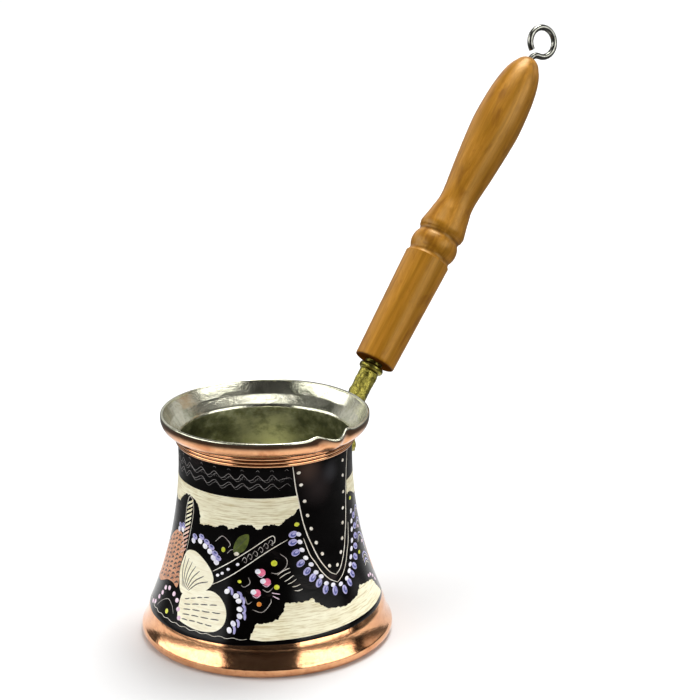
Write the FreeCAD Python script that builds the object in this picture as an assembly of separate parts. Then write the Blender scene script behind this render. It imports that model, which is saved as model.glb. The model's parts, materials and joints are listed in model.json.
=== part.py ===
import FreeCAD, Part
import math
import os

# A hand-spun copper coffee pot with a screwed-on turned wooden handle.
# Frame: +Z up, origin at the centre of the flat base, handle in the +X half of the XZ plane,
# pouring lip close to -Y.  All lengths are millimetres and all angles are degrees.

# Pot wall: the outside is one long shallow arc, narrowest at the waist.
waist_radius = 33.4
waist_height = 74.0
wall_bow_radius = 158.0
copper_thickness = 1.0
tin_thickness = 0.2
sheet_thickness = copper_thickness + tin_thickness
pot_height = 90.0

# Foot: a rounded bottom edge that runs up into a short flare.
foot_corner_radius = 3.1
foot_rest_radius = 46.3
foot_corner_top = 5.0
foot_flare_hollow = 0.35
wall_bottom = 11.4

# Neck and rim: three fine beads, then a bowl-shaped flare up to the lip.
neck_bottom = 78.6
bead_count = 3
bead_pitch = 1.33
bead_root_radius = 33.95
bead_height = 0.6
throat_height = 80.2
throat_round = 0.7
bowl_centre_radius = 34.4
bowl_round = 5.8
bowl_inner_start = -80.0

# Pouring lip: a cone-shaped trough pressed into the rim, with a round dip cut in its edge.
trough_root_radius = 32.6
trough_root_height = 78.9
trough_floor_slope = 42.0
trough_half_angle = 25.0
trough_length = 26.0
spout_azimuth = -92.5
dip_radius = 9.0
dip_depth = 1.3

# Black lacquer band, painted by hand and so a little out of level at its lower edge.
lacquer_thickness = 0.12
lacquer_top = 78.3
lacquer_bottom = 13.0
lacquer_tilt = 1.45
lacquer_tilt_direction = -18.0

# Handle axis: in the XZ plane, through the centre of the wood's lower end.
handle_elevation = 50.4
wood_end_x = 60.0
wood_end_z = 96.15

# Cast bracket: a winged plate that follows the wall, and a round shank along the handle axis.
plate_thickness = 2.0
plate_top = 76.6
plate_bottom = 47.5
wing_half_width = 20.2
wing_corner_y = 17.0
wing_bottom = 70.2
plate_waist_y = 8.3
plate_waist_z = 65.0
lobe_half_width = 4.8
lobe_side_z = 52.5
shank_radius = 3.95
shank_root_radius = 6.2
shank_root_length = 7.0
shank_reach_inwards = 45.0
rivet_places = [(-13.4, 73.4), (13.4, 73.4), (0.0, 53.6)]
rivet_radius = 1.5
rivet_head_radius = 2.7
rivet_head_height = 1.3
rivet_inner_head_radius = 2.2
rivet_inner_head_height = 0.35

# Threaded rod that joins the shank to the wood, and the loose ring between them.
# Threads are plain cylinders at their outer diameter.
stud_radius = 2.5
stud_in_shank = 12.0
stud_in_wood = 28.0
wood_bore_clearance = 0.05
wood_bore_end_gap = 1.0
collar_radius = 5.1
collar_thickness = 4.2
collar_neck_length = 1.2
collar_edge_round = 1.4
collar_end_gap = 0.05
collar_bore_clearance = 0.08

# Turned wooden handle, measured along its axis from the lower end.
wood_length = 146.0
wood_end_radius = 8.4
wood_end_round = 0.6
sleeve_end = 48.2
sleeve_end_radius = 9.5
lower_groove = 49.9
lower_groove_radius = 8.75
bead_start = 51.3
bead_peak = 54.4
bead_peak_radius = 9.82
bead_end = 57.5
bead_side_radius = 9.15
upper_groove = 59.0
upper_groove_radius = 8.65
shoulder_start = 60.6
shoulder_start_radius = 9.35
grip_curve = [
    (62.4, 9.68),
    (69.6, 8.20),
    (77.0, 7.30),
    (91.6, 8.68),
    (105.3, 9.80),
    (113.8, 10.18),
    (125.0, 9.65),
    (133.2, 8.62),
    (139.3, 7.05),
    (143.4, 4.95),
]
tip_round_mid = (145.3, 3.30)
tip_flat_radius = 2.1

# Screw eye in the handle's tip: a straight shank, a small bend and an open ring.
eye_wire_radius = 1.3
eye_shank_depth = 12.0
eye_ring_radius = 6.15
eye_ring_offset = 1.28
eye_bend_radius = 3.6
eye_ring_end_angle = 243.0
eye_turn = -17.5

AXIS_Z = FreeCAD.Vector(0, 0, 1)
ORIGIN = FreeCAD.Vector(0, 0, 0)
FAR = 200.0


def point(radius, height):
    """A point in the half plane that is spun about Z."""
    return FreeCAD.Vector(radius, 0, height)


def line(start, end):
    return Part.LineSegment(point(*start), point(*end)).toShape()


def arc(start, middle, end):
    return Part.Arc(point(*start), point(*middle), point(*end)).toShape()


def spin(edges):
    """The solid of revolution of a closed outline about Z."""
    return Part.Face(Part.Wire(edges)).revolve(ORIGIN, AXIS_Z, 360)


def along_handle(shape):
    """Moves a shape built along +Z from the origin onto the handle axis, wood end at the origin."""
    placed = shape.copy()
    placed.rotate(ORIGIN, FreeCAD.Vector(0, 1, 0), 90.0 - handle_elevation)
    placed.translate(point(wood_end_x, wood_end_z))
    return placed


def turned_to(shape, azimuth):
    """Turns a shape about Z by an azimuth."""
    placed = shape.copy()
    placed.rotate(ORIGIN, AXIS_Z, azimuth)
    return placed


# ---- filled volumes of the pot, at any distance outside (+) or inside (-) its outer surface ----

def wall_radius(height, outside=0.0):
    bow = math.sqrt((wall_bow_radius - outside) ** 2 - (height - waist_height) ** 2)
    return waist_radius + wall_bow_radius - bow


def wall_arc(low, high, outside):
    middle = (low + high) / 2
    return arc(
        (wall_radius(low, outside), low),
        (wall_radius(middle, outside), middle),
        (wall_radius(high, outside), high),
    )


def foot_edges(outside, top):
    """The flat base, the round corner and the foot flare, up to the height top."""
    radius = foot_corner_radius + outside
    rise = math.asin((foot_corner_top - foot_corner_radius) / foot_corner_radius)
    low = (foot_rest_radius, -outside)
    side = (
        foot_rest_radius + radius * math.cos(rise / 2 - math.pi / 4),
        foot_corner_radius + radius * math.sin(rise / 2 - math.pi / 4),
    )
    corner = (
        foot_rest_radius + radius * math.cos(rise),
        foot_corner_radius + radius * math.sin(rise),
    )
    end = (wall_radius(top, outside), top)
    hollow = (
        (corner[0] + end[0]) / 2 - foot_flare_hollow,
        (corner[1] + end[1]) / 2,
    )
    return [
        line((0, -outside), low),
        arc(low, side, corner),
        arc(corner, hollow, end),
    ]


def bead_edges():
    edges = [line((wall_radius(neck_bottom), neck_bottom), (bead_root_radius, neck_bottom))]
    for bead in range(bead_count):
        low = neck_bottom + bead * bead_pitch
        edges.append(arc(
            (bead_root_radius, low),
            (bead_root_radius + bead_height, low + bead_pitch / 2),
            (bead_root_radius, low + bead_pitch),
        ))
    return edges


def on_bowl(angle, outside):
    """A point on the round of the rim bowl, at a distance outside its outer surface."""
    bowl_bottom = neck_bottom + bead_count * bead_pitch
    reach = bowl_round + outside
    turn = math.radians(angle)
    return (
        bowl_centre_radius + reach * math.cos(turn),
        bowl_bottom + bowl_round + reach * math.sin(turn),
    )


def bowl_arc(start_angle, outside):
    """The rim bowl from an angle below the horizontal up to the lip, and the lip's point."""
    rise = pot_height - (neck_bottom + bead_count * bead_pitch + bowl_round)
    lip_angle = math.degrees(math.asin(rise / (bowl_round + outside)))
    lip = on_bowl(lip_angle, outside)
    middle = on_bowl((start_angle + lip_angle) / 2, outside)
    return arc(on_bowl(start_angle, outside), middle, lip), lip


def outer_volume():
    bowl, lip = bowl_arc(-90.0, 0.0)
    neck_top = (bead_root_radius, neck_bottom + bead_count * bead_pitch)
    edges = foot_edges(0.0, wall_bottom)
    edges.append(wall_arc(wall_bottom, neck_bottom, 0.0))
    edges += bead_edges()
    edges.append(line(neck_top, on_bowl(-90.0, 0.0)))
    edges.append(bowl)
    edges.append(line(lip, (0, pot_height)))
    edges.append(line((0, pot_height), (0, 0)))
    return spin(edges)


def inner_volume(inside):
    """Everything inside the sheet at a depth from the outer surface, open past the lip."""
    bowl, lip = bowl_arc(bowl_inner_start, -inside)
    floor_top = wall_bottom + inside / 2
    throat = (wall_radius(throat_height, -inside), throat_height)
    ledge = on_bowl(bowl_inner_start, -inside)
    chord = math.atan2(ledge[1] - throat[1], ledge[0] - throat[0])
    corner = (
        (throat[0] + ledge[0]) / 2 - throat_round * math.sin(chord),
        (throat[1] + ledge[1]) / 2 + throat_round * math.cos(chord),
    )
    edges = foot_edges(-inside, floor_top)
    edges.append(wall_arc(floor_top, throat_height, -inside))
    edges.append(arc(throat, corner, ledge))
    edges.append(bowl)
    edges.append(line(lip, (lip[0], pot_height + 1)))
    edges.append(line((lip[0], pot_height + 1), (0, pot_height + 1)))
    edges.append(line((0, pot_height + 1), (0, inside)))
    return spin(edges)


def wall_band(outside, low, high):
    """A filled disc that stands outside the long wall arc."""
    return spin([
        line((0, low), (wall_radius(low, outside), low)),
        wall_arc(low, high, outside),
        line((wall_radius(high, outside), high), (0, high)),
        line((0, high), (0, low)),
    ])


def trough(inside):
    """The pouring lip's cone, at a depth from its outer surface."""
    back = inside / math.sin(math.radians(trough_half_angle))
    tilt = math.radians(trough_floor_slope + trough_half_angle)
    direction = FreeCAD.Vector(math.cos(tilt), 0, math.sin(tilt))
    apex = point(trough_root_radius, trough_root_height) + direction * back
    mouth = trough_length * math.tan(math.radians(trough_half_angle))
    cone = Part.makeCone(0, mouth, trough_length, apex, direction)
    return turned_to(cone, spout_azimuth)


def lip_dip(deeper):
    """The round dip in the pouring lip's edge, cut lower by a given depth."""
    centre = point(waist_radius, pot_height + dip_radius - dip_depth)
    cutter = Part.makeCylinder(dip_radius + deeper, FAR, centre, FreeCAD.Vector(1, 0, 0))
    return turned_to(cutter, spout_azimuth)


def above(height):
    return Part.makeBox(2 * FAR, 2 * FAR, FAR, FreeCAD.Vector(-FAR, -FAR, height))


# ---- the pieces ----

def rivet_frames():
    """Azimuth and height of each rivet."""
    for side, height in rivet_places:
        yield math.degrees(math.asin(side / wall_radius(height))), height


def rivet_shanks(radius):
    shanks = []
    for azimuth, height in rivet_frames():
        wall = wall_radius(height)
        start = point(wall - sheet_thickness - rivet_inner_head_height / 2, height)
        length = sheet_thickness + plate_thickness + rivet_head_height
        shank = Part.makeCylinder(radius, length, start, FreeCAD.Vector(1, 0, 0))
        shanks.append(turned_to(shank, azimuth))
    return shanks


def domed_head(base_radius, height_of_dome, wall, height, outwards):
    """A ball whose cap of the given size stands on the wall, on either side of it."""
    ball_radius = (base_radius ** 2 + height_of_dome ** 2) / (2 * height_of_dome)
    centre = wall + outwards * (height_of_dome - ball_radius)
    return Part.makeSphere(ball_radius, point(centre, height))


def make_bracket_rivets(plate_volume, inside):
    rivets = []
    plate_face = lacquer_thickness + plate_thickness
    for (azimuth, height), shank in zip(rivet_frames(), rivet_shanks(rivet_radius)):
        outer = domed_head(
            rivet_head_radius, rivet_head_height, wall_radius(height, plate_face), height, 1)
        inner = domed_head(
            rivet_inner_head_radius, rivet_inner_head_height, wall_radius(height, -sheet_thickness),
            height, -1)
        outer = turned_to(outer, azimuth).cut(plate_volume)
        inner = turned_to(inner, azimuth).common(inside)
        outer_side = Part.makeBox(FAR, FAR, FAR, FreeCAD.Vector(0, -FAR / 2, 0))
        outer = outer.common(outer_side)
        rivets.append(outer.fuse([shank, inner]).removeSplitter())
    return Part.makeCompound(rivets)


def plate_outline():
    """The winged plate's front outline, as a prism through the wall on the +X side."""
    tip_z = (plate_top + wing_bottom) / 2

    def flat(y, z):
        return FreeCAD.Vector(waist_radius / 2, y, z)

    def bend(start, middle, end):
        return Part.Arc(flat(*start), flat(*middle), flat(*end)).toShape()

    edges = [
        Part.LineSegment(flat(-wing_corner_y, plate_top), flat(wing_corner_y, plate_top)).toShape(),
        bend((wing_corner_y, plate_top), (wing_half_width, tip_z), (wing_corner_y, wing_bottom)),
        bend((wing_corner_y, wing_bottom), (plate_waist_y, plate_waist_z),
             (lobe_half_width, lobe_side_z)),
        bend((lobe_half_width, lobe_side_z), (0, plate_bottom), (-lobe_half_width, lobe_side_z)),
        bend((-lobe_half_width, lobe_side_z), (-plate_waist_y, plate_waist_z),
             (-wing_corner_y, wing_bottom)),
        bend((-wing_corner_y, wing_bottom), (-wing_half_width, tip_z), (-wing_corner_y, plate_top)),
    ]
    return Part.Face(Part.Wire(edges)).extrude(FreeCAD.Vector(FAR, 0, 0))


def make_handle_bracket(plate_volume, lacquer_volume):
    shank_end = -(collar_thickness + 2 * collar_end_gap)
    plate = plate_volume.cut(lacquer_volume).common(plate_outline())
    shank = Part.makeCylinder(shank_radius, shank_reach_inwards, point(0, shank_end - shank_reach_inwards))
    wall_along_axis = -(wood_end_x - waist_radius) / math.cos(math.radians(handle_elevation))
    root = Part.makeCone(
        shank_root_radius, shank_radius, shank_root_length, point(0, wall_along_axis))
    root_base = Part.makeCylinder(shank_root_radius, shank_root_length, point(0, wall_along_axis))
    root_base.translate(FreeCAD.Vector(0, 0, -shank_root_length))
    arm = along_handle(shank.fuse([root, root_base])).cut(lacquer_volume)
    below = Part.makeBox(FAR, FAR, FAR, FreeCAD.Vector(waist_radius / 2 - FAR, -FAR / 2, -FAR / 2))
    arm = arm.cut(below)
    bore = Part.makeCylinder(stud_radius, stud_in_shank, point(0, shank_end - stud_in_shank))
    bracket = plate.fuse(arm).cut(along_handle(bore))
    return bracket.cut(rivet_shanks(rivet_radius)).removeSplitter()


def make_handle_stud():
    shank_end = -(collar_thickness + 2 * collar_end_gap)
    length = stud_in_shank - shank_end + stud_in_wood
    return along_handle(Part.makeCylinder(stud_radius, length, point(0, shank_end - stud_in_shank)))


def make_collar():
    low = -(collar_thickness + collar_end_gap)
    high = -collar_end_gap
    bore = stud_radius + collar_bore_clearance
    shoulder = collar_radius - collar_edge_round
    neck = high - collar_neck_length
    return along_handle(spin([
        line((bore, low), (shoulder, low)),
        arc((shoulder, low), (collar_radius, (low + neck) / 2), (shoulder, neck)),
        line((shoulder, neck), (shoulder, high)),
        line((shoulder, high), (bore, high)),
        line((bore, high), (bore, low)),
    ]))


def make_wooden_handle():
    def at(distance, radius):
        return (radius, distance)

    bore = stud_radius + wood_bore_clearance
    bore_end = stud_in_wood + wood_bore_end_gap
    tip_start = grip_curve[-1]
    corner_cut = wood_end_round * (1 - math.sqrt(0.5))
    grip = Part.BSplineCurve()
    grip.interpolate([point(radius, distance) for distance, radius in grip_curve])
    edges = [
        line(at(0, 0), at(0, wood_end_radius - wood_end_round)),
        arc(at(0, wood_end_radius - wood_end_round),
            at(corner_cut, wood_end_radius - corner_cut),
            at(wood_end_round, wood_end_radius)),
        line(at(wood_end_round, wood_end_radius), at(sleeve_end, sleeve_end_radius)),
        arc(at(sleeve_end, sleeve_end_radius), at(lower_groove, lower_groove_radius),
            at(bead_start, bead_side_radius)),
        arc(at(bead_start, bead_side_radius), at(bead_peak, bead_peak_radius),
            at(bead_end, bead_side_radius)),
        arc(at(bead_end, bead_side_radius), at(upper_groove, upper_groove_radius),
            at(shoulder_start, shoulder_start_radius)),
        line(at(shoulder_start, shoulder_start_radius), at(*grip_curve[0])),
        grip.toShape(),
        arc(at(*tip_start), at(*tip_round_mid), at(wood_length, tip_flat_radius)),
        line(at(wood_length, tip_flat_radius), at(wood_length, 0)),
        line(at(wood_length, 0), at(0, 0)),
    ]
    stud_bore = Part.makeCylinder(bore, bore_end)
    eye_bore = Part.makeCylinder(eye_wire_radius, eye_shank_depth, point(0, wood_length - eye_shank_depth))
    return along_handle(spin(edges).cut([stud_bore, eye_bore]))


def make_hanging_eye():
    start = wood_length - eye_shank_depth
    bend_height = wood_length
    reach = eye_bend_radius + eye_ring_radius
    aside = eye_bend_radius - eye_ring_offset
    ring_height = bend_height + math.sqrt(reach ** 2 - aside ** 2)
    meet_angle = math.atan2(bend_height - ring_height, aside)

    def on_ring(angle):
        return (
            eye_ring_offset + eye_ring_radius * math.cos(angle),
            ring_height + eye_ring_radius * math.sin(angle),
        )

    def on_bend(angle):
        return (
            eye_bend_radius + eye_bend_radius * math.cos(angle),
            bend_height + eye_bend_radius * math.sin(angle),
        )

    meet_on_bend = meet_angle + math.pi
    end_angle = math.radians(eye_ring_end_angle)
    path = Part.Wire([
        line((0, start), (0, bend_height)),
        arc((0, bend_height), on_bend((math.pi + meet_on_bend) / 2), on_bend(meet_on_bend)),
        arc(on_ring(meet_angle), on_ring((meet_angle + end_angle) / 2), on_ring(end_angle)),
    ])
    section = Part.Wire(Part.makeCircle(eye_wire_radius, point(0, start)))
    wire = path.makePipeShell([section], True, True)
    return along_handle(turned_to(wire, eye_turn))


os.makedirs("parts", exist_ok=True)

outside = outer_volume().fuse(trough(0.0)).cut([above(pot_height), lip_dip(0.0)])
copper_inside = inner_volume(copper_thickness).fuse(
    [trough(copper_thickness), above(pot_height - tin_thickness), lip_dip(tin_thickness)])
tin_inside = inner_volume(sheet_thickness).fuse(trough(sheet_thickness))
lacquer_volume = wall_band(lacquer_thickness, wall_bottom, lacquer_top)
plate_volume = wall_band(lacquer_thickness + plate_thickness, wall_bottom, lacquer_top)
holes = rivet_shanks(rivet_radius)

pot_body = outside.cut(copper_inside).cut(holes)
tin_lining = outside.common(copper_inside).cut(tin_inside).cut(holes)

lacquer_cut = Part.makeBox(2 * FAR, 2 * FAR, FAR, FreeCAD.Vector(-FAR, -FAR, -FAR))
lacquer_cut.rotate(ORIGIN, FreeCAD.Vector(0, 1, 0), -lacquer_tilt)
lacquer_cut = turned_to(lacquer_cut, lacquer_tilt_direction)
lacquer_cut.translate(point(0, lacquer_bottom))
lacquer_coat = lacquer_volume.cut(wall_band(0.0, wall_bottom, lacquer_top))
lacquer_coat = lacquer_coat.cut(lacquer_cut).cut(holes)

pieces = {
    "pot_body": pot_body,
    "tin_lining": tin_lining,
    "lacquer_coat": lacquer_coat,
    "handle_bracket": make_handle_bracket(plate_volume, lacquer_volume),
    "bracket_rivets": make_bracket_rivets(plate_volume, tin_inside),
    "handle_stud": make_handle_stud(),
    "collar": make_collar(),
    "wooden_handle": make_wooden_handle(),
    "hanging_eye": make_hanging_eye(),
}
for name, shape in pieces.items():
    shape.exportStep(f"parts/{name}.step")
    print(name, "solids", len(shape.Solids), "valid", shape.isValid(), "volume", round(shape.Volume, 2))
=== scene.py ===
import json
import math
import random

import bpy
import numpy as np
from mathutils import Matrix, Vector, geometry, noise


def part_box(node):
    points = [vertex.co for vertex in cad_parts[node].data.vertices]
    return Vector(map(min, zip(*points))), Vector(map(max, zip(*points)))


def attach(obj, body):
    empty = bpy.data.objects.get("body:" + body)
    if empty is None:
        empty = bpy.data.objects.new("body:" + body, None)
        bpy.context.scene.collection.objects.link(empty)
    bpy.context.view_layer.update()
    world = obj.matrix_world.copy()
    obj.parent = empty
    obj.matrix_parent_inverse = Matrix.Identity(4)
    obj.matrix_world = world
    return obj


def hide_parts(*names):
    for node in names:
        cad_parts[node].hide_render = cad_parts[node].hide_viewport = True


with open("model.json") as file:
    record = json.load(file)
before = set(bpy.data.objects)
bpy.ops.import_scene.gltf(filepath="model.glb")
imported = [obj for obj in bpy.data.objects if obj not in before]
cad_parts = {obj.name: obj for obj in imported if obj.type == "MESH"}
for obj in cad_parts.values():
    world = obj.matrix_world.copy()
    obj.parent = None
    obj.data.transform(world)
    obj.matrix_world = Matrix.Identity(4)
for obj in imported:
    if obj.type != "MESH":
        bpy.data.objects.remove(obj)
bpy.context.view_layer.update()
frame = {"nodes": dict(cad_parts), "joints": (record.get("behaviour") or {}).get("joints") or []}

random.seed(7)

# Everything is built in millimetres in the CAD frame and scaled to metres when a mesh is made.
MM = 0.001
PER_METRE = 1000.0

# ---- sizes shared with the CAD, in mm and degrees ----
waist_radius = 33.4
waist_height = 74.0
wall_bow_radius = 158.0
copper_thickness = 1.0
sheet_thickness = 1.2
pot_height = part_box("pot_body")[1].z * PER_METRE
foot_corner_radius = 3.1
foot_rest_radius = 46.3
foot_corner_top = 5.0
foot_flare_hollow = 0.35
wall_bottom = 11.4
neck_bottom = 78.6
bead_count = 3
bead_pitch = 1.33
bead_root_radius = 33.95
bead_height = 0.6
throat_height = 80.2
bowl_centre_radius = 34.4
bowl_round = 5.8
bowl_bottom = neck_bottom + bead_count * bead_pitch
ledge_bottom = (32.95, 81.75)
ledge_top = (36.4, 84.85)
bowl_belly = 0.06
lacquer_thickness = 0.12
lacquer_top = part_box("lacquer_coat")[1].z * PER_METRE
lacquer_bottom = 13.0
lacquer_tilt = 1.45
lacquer_tilt_direction = -18.0
spout_azimuth = -92.5

handle_joint = [j for j in frame["joints"] if j["name"] == "handle_turn"][0]
handle_axis = Vector(handle_joint["axis"]).normalized()
handle_foot = Vector(handle_joint["pos_m"]) * PER_METRE
across_handle = Vector((handle_axis.z, 0, -handle_axis.x))
HANDLE_FRAME = np.array([across_handle, (0, 1, 0), handle_axis])

# The decoration is laid out by its turn from the side that faces the spectator.
FRONT_AZIMUTH = -135.0
HALF_TURN = 180.0
TINY = 1e-6


# ---- outlines ----

def arc_through(start, middle, end, count):
    """Points on the circle through three points, from the first to the last."""
    ax, ay = start
    bx, by = middle
    cx, cy = end
    a2, b2, c2 = ax * ax + ay * ay, bx * bx + by * by, cx * cx + cy * cy
    d = 2 * (ax * (by - cy) + bx * (cy - ay) + cx * (ay - by))
    ux = (a2 * (by - cy) + b2 * (cy - ay) + c2 * (ay - by)) / d
    uy = (a2 * (cx - bx) + b2 * (ax - cx) + c2 * (bx - ax)) / d
    radius = math.hypot(ax - ux, ay - uy)
    first = math.atan2(ay - uy, ax - ux)
    sweep = (math.atan2(cy - uy, cx - ux) - first) % math.tau
    if (math.atan2(by - uy, bx - ux) - first) % math.tau > sweep:
        sweep -= math.tau
    angles = [first + sweep * i / count for i in range(count + 1)]
    return [(ux + radius * math.cos(a), uy + radius * math.sin(a)) for a in angles]


def straight(start, end, count):
    return [
        (start[0] + (end[0] - start[0]) * i / count, start[1] + (end[1] - start[1]) * i / count)
        for i in range(count + 1)
    ]


def joined(*parts):
    """One outline from parts that meet end to start."""
    points = list(parts[0])
    for part in parts[1:]:
        same = math.dist(points[-1], part[0]) < TINY
        points += part[1:] if same else part
    return points


def smooth_curve(points, step, closed=False):
    """A Catmull-Rom curve through the points, sampled about every step."""
    points = [np.array(p, float) for p in points]
    count = len(points)
    curve = []
    spans = count if closed else count - 1
    for i in range(spans):
        if closed:
            a, b, c, d = (points[(i + k) % count] for k in (-1, 0, 1, 2))
        else:
            b, c = points[i], points[i + 1]
            a = points[i - 1] if i > 0 else 2 * b - c
            d = points[i + 2] if i + 2 < count else 2 * c - b
        pieces = max(2, int(math.ceil(np.linalg.norm(c - b) / step)))
        for k in range(pieces):
            t = k / pieces
            curve.append(0.5 * (
                2 * b + (c - a) * t + (2 * a - 5 * b + 4 * c - d) * t ** 2
                + (3 * b - a - 3 * c + d) * t ** 3))
    if not closed:
        curve.append(points[-1])
    return curve


def wall_radius(height, outside=0.0):
    """The pot's radius at a height, on a surface that lies some mm outside the copper."""
    bow = math.sqrt((wall_bow_radius - outside) ** 2 - (height - waist_height) ** 2)
    return waist_radius + wall_bow_radius - bow


def wall_line(low, high, outside, count):
    heights = [low + (high - low) * i / count for i in range(count + 1)]
    return [(wall_radius(z, outside), z) for z in heights]


def foot_line(outside, top):
    radius = foot_corner_radius + outside
    rise = math.asin((foot_corner_top - foot_corner_radius) / foot_corner_radius)
    low = (foot_rest_radius, -outside)

    def on_corner(angle):
        return (
            foot_rest_radius + radius * math.cos(angle),
            foot_corner_radius + radius * math.sin(angle),
        )

    corner = on_corner(rise)
    end = (wall_radius(top, outside), top)
    hollow = ((corner[0] + end[0]) / 2 - foot_flare_hollow, (corner[1] + end[1]) / 2)
    return joined(
        straight((0, -outside), low, 12),
        arc_through(low, on_corner(rise / 2 - math.pi / 4), corner, 14),
        arc_through(corner, hollow, end, 10),
    )


def on_bowl(angle, outside):
    reach = bowl_round + outside
    turn = math.radians(angle)
    return (
        bowl_centre_radius + reach * math.cos(turn),
        bowl_bottom + bowl_round + reach * math.sin(turn),
    )


def bowl_line(start_angle, outside, top, count):
    """The rim bowl from an angle below the horizontal up to a height."""
    lip_angle = math.degrees(math.asin((top - bowl_bottom - bowl_round) / (bowl_round + outside)))
    return [
        on_bowl(start_angle + (lip_angle - start_angle) * i / count, outside)
        for i in range(count + 1)
    ]


def on_wall(turn, height, lift=0.0):
    """A point over the lacquer, by its turn from the front and its height."""
    azimuth = math.radians(turn + FRONT_AZIMUTH)
    radius = wall_radius(height, lacquer_thickness + lift)
    return (radius * math.cos(azimuth), radius * math.sin(azimuth), height)


throat_bulge = 0.15


def inner_line(inside, top):
    """The surface at a depth below the outside, from the middle of the floor up to a height."""
    floor_top = wall_bottom + inside / 2
    throat = (wall_radius(throat_height, -inside), throat_height)
    spare = inside - sheet_thickness
    tilt = math.atan2(ledge_top[1] - ledge_bottom[1], ledge_top[0] - ledge_bottom[0])
    shift = (-spare * math.sin(tilt), spare * math.cos(tilt))
    ledge_low = (ledge_bottom[0] + shift[0], ledge_bottom[1] + shift[1])
    ledge_high = (ledge_top[0] + shift[0], ledge_top[1] + shift[1])
    lip = bowl_line(0.0, -inside, top, 1)[-1]
    belly = (
        (ledge_high[0] + lip[0]) / 2 + bowl_belly,
        (ledge_high[1] + lip[1]) / 2 - bowl_belly / 2,
    )
    return joined(
        foot_line(-inside, floor_top),
        wall_line(floor_top, throat_height, -inside, 40),
        arc_through(
            throat, (throat[0] + throat_bulge, (throat_height + ledge_low[1]) / 2), ledge_low, 6),
        straight(ledge_low, ledge_high, 8),
        arc_through(ledge_high, belly, lip, 16),
    )


# ---- meshes ----

class Shells:
    """Closed shells gathered into one mesh."""

    def __init__(self, points=(), faces=()):
        self.points = []
        self.faces = []
        self.add(points, faces)

    def add(self, points, faces):
        base = len(self.points)
        self.points += [tuple(p) for p in points]
        self.faces += [tuple(base + i for i in face) for face in faces]


def make_piece(name, shells, material, body, replaced=None, crease=35.0):
    """A mesh that rides a body, and stands for a CAD node if it replaces one."""
    mesh = bpy.data.meshes.new(name)
    mesh.from_pydata([(x * MM, y * MM, z * MM) for x, y, z in shells.points], [], shells.faces)
    mesh.validate()
    mesh.polygons.foreach_set("use_smooth", [True] * len(mesh.polygons))
    mesh.set_sharp_from_angle(angle=math.radians(crease))
    mesh.materials.append(material)
    piece = bpy.data.objects.new(name, mesh)
    bpy.context.scene.collection.objects.link(piece)
    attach(piece, body)
    if replaced:
        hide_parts(replaced)


def grid_faces(rows, columns, round_rows=False, round_columns=True, turned_over=False):
    """Quads between neighbouring rows of points."""
    faces = []
    for i in range(rows if round_rows else rows - 1):
        j = (i + 1) % rows
        for k in range(columns if round_columns else columns - 1):
            m = (k + 1) % columns
            a, b, c, d = i * columns + k, i * columns + m, j * columns + m, j * columns + k
            faces.append((a, d, c, b) if turned_over else (a, b, c, d))
    return faces


def tube_faces(rows, sides):
    """The wall and the two flat ends of a closed tube."""
    ends = [tuple(range(sides))[::-1], tuple(range((rows - 1) * sides, rows * sides))]
    return grid_faces(rows, sides) + ends


def ring_point(radius, azimuth, height):
    turn = math.radians(azimuth)
    return (radius * math.cos(turn), radius * math.sin(turn), height)


def spun(outline, azimuths, reshape=None):
    """A closed surface of revolution.  The outline runs anticlockwise seen with the axis on the left;
    where it starts and ends on the axis it gets a pole, otherwise it closes on itself."""
    on_axis = abs(outline[0][0]) < TINY
    ring_points = outline[1:-1] if on_axis else outline
    rings = len(ring_points)
    turns = len(azimuths)
    points = [ring_point(r, azimuth, z) for azimuth in azimuths for r, z in ring_points]
    faces = grid_faces(turns, rings, True, not on_axis, turned_over=True)
    if on_axis:
        first, last = len(points), len(points) + 1
        points += [(0, 0, outline[0][1]), (0, 0, outline[-1][1])]
        for i in range(turns):
            j = (i + 1) % turns
            faces.append((first, j * rings, i * rings))
            faces.append((last, i * rings + rings - 1, j * rings + rings - 1))
    if reshape:
        points = [reshape(*p) for p in points]
    return Shells(points, faces)


def even_turns(count):
    return [360.0 * i / count for i in range(count)]


def along_handle(points):
    """Moves points built along +Z from the origin onto the handle axis."""
    moved = np.array(points, float) @ HANDLE_FRAME + np.array(handle_foot)
    return [tuple(p) for p in moved]


def swept(path, radius, sides):
    """A closed tube along a path of 3-D points, with flat ends."""
    path = [np.array(p, float) for p in path]
    side = np.array((0, 1, 0), float)
    points = []
    for i, centre in enumerate(path):
        ahead = path[min(i + 1, len(path) - 1)] - path[max(i - 1, 0)]
        ahead /= np.linalg.norm(ahead)
        side = side - ahead * (side @ ahead)
        side /= np.linalg.norm(side)
        up = np.cross(ahead, side)
        for k in range(sides):
            turn = math.tau * k / sides
            points.append(centre + radius * (side * math.cos(turn) + up * math.sin(turn)))
    return points, tube_faces(len(path), sides)


# ---- materials ----

def tone(red, green, blue):
    """A linear colour from display values between 0 and 255."""
    def linear(value):
        value /= 255.0
        return value / 12.92 if value <= 0.04045 else ((value + 0.055) / 1.055) ** 2.4
    return (linear(red), linear(green), linear(blue), 1.0)


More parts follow.
